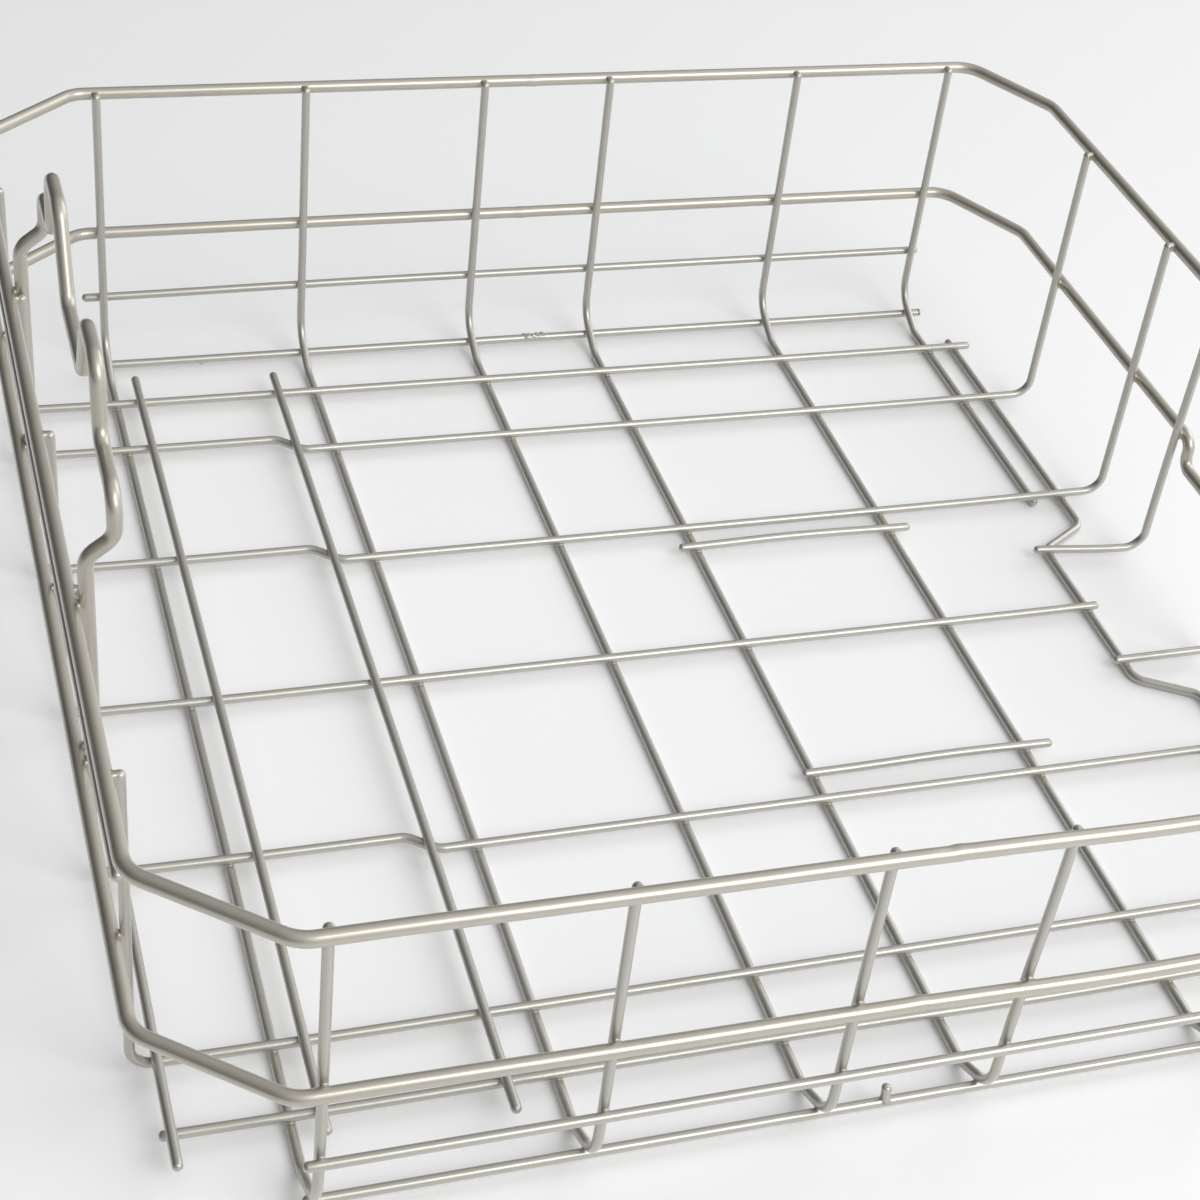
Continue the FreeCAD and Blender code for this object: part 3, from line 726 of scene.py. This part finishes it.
def filletSkins(found, web):
    # all welds at once: welds by rows by turns by 3
    parts = [np.array(part) for part in zip(*found)]
    pointA, wayA, radiusA, pointB, wayB, radiusB, toEnds = parts
    normal = unit(pointB - pointA)
    apart = np.linalg.norm(pointB - pointA, axis=1)
    overlap = (radiusA + radiusB - apart)[:, None]
    middle = pointA + normal * (apart + radiusA - radiusB)[:, None] / 2
    first = unit(wayA - (wayA * normal).sum(1, keepdims=True) * normal)
    second = np.cross(normal, first)
    turns = np.arange(weld["turns"]) / weld["turns"] * 2 * math.pi
    cosine, sine = np.cos(turns)[None, :, None], np.sin(turns)[None, :, None]
    out = cosine * first[:, None] + sine * second[:, None]
    # across: how squarely a way out leaves a wire, from nearly 0 along it to 1 over its side
    acrossA, acrossB = [
        np.maximum(np.abs((np.cross(out, way[:, None]) * normal[:, None]).sum(-1)), 0.02)
        for way in (wayA, wayB)
    ]
    radiusA, radiusB = radiusA[:, None], radiusB[:, None]

    def depth(distance, across, radius):
        # how far a round wire has fallen away at a distance from the contact
        return radius - np.sqrt(np.maximum(radius ** 2 - (distance * across) ** 2, 0))

    # a sine of the weld's number makes each fillet a little larger or smaller than the next
    each = 1 + weld["webSpread"] * np.sin(12.9898 * np.arange(len(found)))[:, None]
    near, far = 0 * acrossA, np.minimum(radiusA / acrossA, radiusB / acrossB) * weld["farthest"]
    for _ in range(weld["halvings"]):
        half = (near + far) / 2
        gap = depth(half, acrossA, radiusA) + depth(half, acrossB, radiusB) - overlap
        short = gap < web * each
        near, far = np.where(short, half, near), np.where(short, far, half)
    stand = near
    edges = []
    for across, radius, way in ((acrossA, radiusA, -1), (acrossB, radiusB, 1)):
        edge = np.minimum(stand + weld["flare"], weld["wrap"] * radius / across)
        height = way * (depth(edge, across, radius) - overlap / 2 + weld["sink"])
        slope = across ** 2 * edge / np.sqrt(np.maximum(radius ** 2 - (edge * across) ** 2, 0.05))
        long = weld["pull"] * (edge - weld["pullFrom"] * stand) / np.sqrt(1 + slope ** 2)
        edges.append((edge, height, edge - long, height - way * slope * long))
    (edgeA, heightA, pullA, liftA), (edgeB, heightB, pullB, liftB) = edges
    t = np.linspace(0, 1, weld["rows"])[None, :, None]
    share = ((1 - t) ** 3, 3 * t * (1 - t) ** 2, 3 * t ** 2 * (1 - t), t ** 3)
    distance = sum(w * d[:, None] for w, d in zip(share, (edgeA, pullA, pullB, edgeB)))
    lift = sum(w * d[:, None] for w, d in zip(share, (heightA, liftA, liftB, heightB)))
    skin = middle[:, None, None] + distance[..., None] * out[:, None]
    skin = skin + lift[..., None] * normal[:, None, None]
    # at a cut end the fillet follows the dome: past the body, the way along goes on by the sine
    # and the way out falls by the cosine, the more the nearer a row is to the cut wire
    for point, way, radius, back, ahead, part in (
        (pointA, wayA, radiusA, toEnds[:, 0], toEnds[:, 1], 1 - t),
        (pointB, wayB, radiusB, toEnds[:, 2], toEnds[:, 3], t),
    ):
        point, way = point[:, None, None], way[:, None, None]
        tip = wire["tipLength"] * radius[:, None]
        along = ((skin - point) * way).sum(-1)
        body = np.clip(along, tip - back[:, None, None], ahead[:, None, None] - tip)
        turn = np.minimum(np.abs(along - body) / tip, math.pi / 2)
        outward = skin - point - along[..., None] * way
        outward = outward * (1 - part * (1 - np.cos(turn)))[..., None]
        onward = body + np.sign(along - body) * tip * np.sin(turn)
        skin = point + outward + onward[..., None] * way
    return skin


# Every pair of wires is searched for contacts, and each contact goes into the group of its weld.
searched = {}
for node, laid in routes.items():
    route = laid["route"]
    if laid["closed"]:
        route = np.vstack([route, route[:1]])
    run = runOf(route)
    at = np.linspace(0, run[-1], int(run[-1] / weld["searchStep"]) + 2)
    points = placeAt(at, run, route)
    searched[node] = {
        "route": route,
        "run": run,
        "at": at,
        "points": points,
        "low": points.min(0),
        "high": points.max(0),
        "radius": laid["radius"],
        "play": weld["endless"] if laid["closed"] else weld["endPlay"],
    }
weldGroups = {
    "ring_welds": {"web": weld["ringWeb"], "material": frameCoating, "slot": "frame_wire", "found": []},
    "floor_welds": {"web": weld["web"], "material": basketCoating, "slot": "basket_wire", "found": []},
    "wall_welds": {"web": weld["web"], "material": basketCoating, "slot": "basket_wire", "found": []},
}
names = list(routes)
for i, nodeA in enumerate(names):
    for nodeB in names[i + 1:]:
        for contact in contactsOf(searched[nodeA], searched[nodeB]):
            top = max(contact[0][2], contact[3][2])
            placed = "floor_welds" if top < weld["floorTop"] else "wall_welds"
            group = "ring_welds" if nodeA.endswith("_ring") else placed
            weldGroups[group]["found"].append(contact)
filletFaces = gridFaces(weld["rows"], weld["turns"], False)
for name, group in weldGroups.items():
    skins = filletSkins(group["found"], group["web"])
    offsets = np.arange(len(skins))[:, None, None] * weld["rows"] * weld["turns"]
    faces = (filletFaces[None] + offsets).reshape(-1, 4).tolist()
    addPiece(name, skins.reshape(-1, 3), faces, group["material"])
print("stage: welds filled,", {name: len(group["found"]) for name, group in weldGroups.items()})

# Stage: pale floor, soft light, and the camera of the photograph.
studio = {
    "floorSize": 6.0,
    "floorColour": (0.925, 0.93, 0.935),
    "floorRoughness": 0.30,
    "skyDark": 0.04,        # strength at the left and the back
    "skyLight": 0.88,       # strength above on the right
    "skySide": (0.75, -0.35, 0.58),    # where the sky is lightest
    "skyEdge": -0.5,        # cosine to that side where the dark ends
    "floorGlow": 0.07,      # lightens the shadows, as the white room did
}
softboxes = {
    "keySoftbox": {"place": (0.95, -1.75, 1.75), "size": 1.5, "power": 30.5},
    "sideSoftbox": {"place": (2.3, 0.8, 1.35), "size": 2.0, "power": 19.0},
}
floorMesh = bpy.data.meshes.new("floor")
floorHalf = studio["floorSize"] / 2
floorCorners = [(x * floorHalf, y * floorHalf, 0) for x, y in ((-1, -1), (1, -1), (1, 1), (-1, 1))]
floorMesh.from_pydata(floorCorners, [], [(0, 1, 2, 3)])
floor = bpy.data.objects.new("floor", floorMesh)
bpy.context.scene.collection.objects.link(floor)
floorMaterial = bpy.data.materials.new("paleFloor")
floorMaterial.use_nodes = True
floorShader = floorMaterial.node_tree.nodes["Principled BSDF"]
floorShader.inputs["Base Color"].default_value = (*studio["floorColour"], 1)
floorShader.inputs["Roughness"].default_value = studio["floorRoughness"]
floorShader.inputs["Emission Color"].default_value = (1, 1, 1, 1)
floorShader.inputs["Emission Strength"].default_value = studio["floorGlow"]
floorMesh.materials.append(floorMaterial)

# The sky is a soft gradient: its strength goes smoothly from dark to light with the cosine
# of the angle to its lightest side.
world = bpy.data.worlds.new("studio")
bpy.context.scene.world = world
world.use_nodes = True
skyNodes, skyLinks = world.node_tree.nodes, world.node_tree.links
skyWay = skyNodes.new("ShaderNodeTexCoord")
skyCosine = skyNodes.new("ShaderNodeVectorMath")
skyCosine.operation = "DOT_PRODUCT"
skyCosine.inputs[1].default_value = unit(np.array(studio["skySide"])).tolist()
skyLinks.new(skyWay.outputs["Generated"], skyCosine.inputs[0])
skyRange = skyNodes.new("ShaderNodeMapRange")
skyRange.interpolation_type = "SMOOTHSTEP"
skyRange.inputs["From Min"].default_value = studio["skyEdge"]
skyRange.inputs["From Max"].default_value = 1
skyRange.inputs["To Min"].default_value = studio["skyDark"]
skyRange.inputs["To Max"].default_value = studio["skyLight"]
skyLinks.new(skyCosine.outputs["Value"], skyRange.inputs["Value"])
skyLinks.new(skyRange.outputs["Result"], skyNodes["Background"].inputs["Strength"])
skyNodes["Background"].inputs["Color"].default_value = (1, 1, 1, 1)

for name, box in softboxes.items():
    light = bpy.data.lights.new(name, "AREA")
    light.shape = "SQUARE"
    light.size = box["size"]
    light.energy = box["power"]
    lamp = bpy.data.objects.new(name, light)
    bpy.context.scene.collection.objects.link(lamp)
    lamp.location = box["place"]
    # turned to the middle of the floor
    x, y, z = box["place"]
    lamp.rotation_euler = (math.atan2(math.hypot(x, y), z), 0, math.atan2(x, -y))
bpy.context.scene.view_settings.view_transform = "Standard"

view = {
    "place": (-0.30475, -0.72224, 0.63178),
    "turn": (50.2375, -6.7490, -17.5416),    # degrees about X, Y and Z
    "lens": 71.45,          # millimetres, on a sensor 36 wide
    "shift": (-0.0546, 0.0726),
}
cameraData = bpy.data.cameras.new("camera")
cameraData.sensor_width = 36
cameraData.lens = view["lens"]
cameraData.shift_x, cameraData.shift_y = view["shift"]
camera = bpy.data.objects.new("camera", cameraData)
bpy.context.scene.collection.objects.link(camera)
camera.location = view["place"]
camera.rotation_euler = [math.radians(a) for a in view["turn"]]
bpy.context.scene.camera = camera
print("stage: lights and camera set")
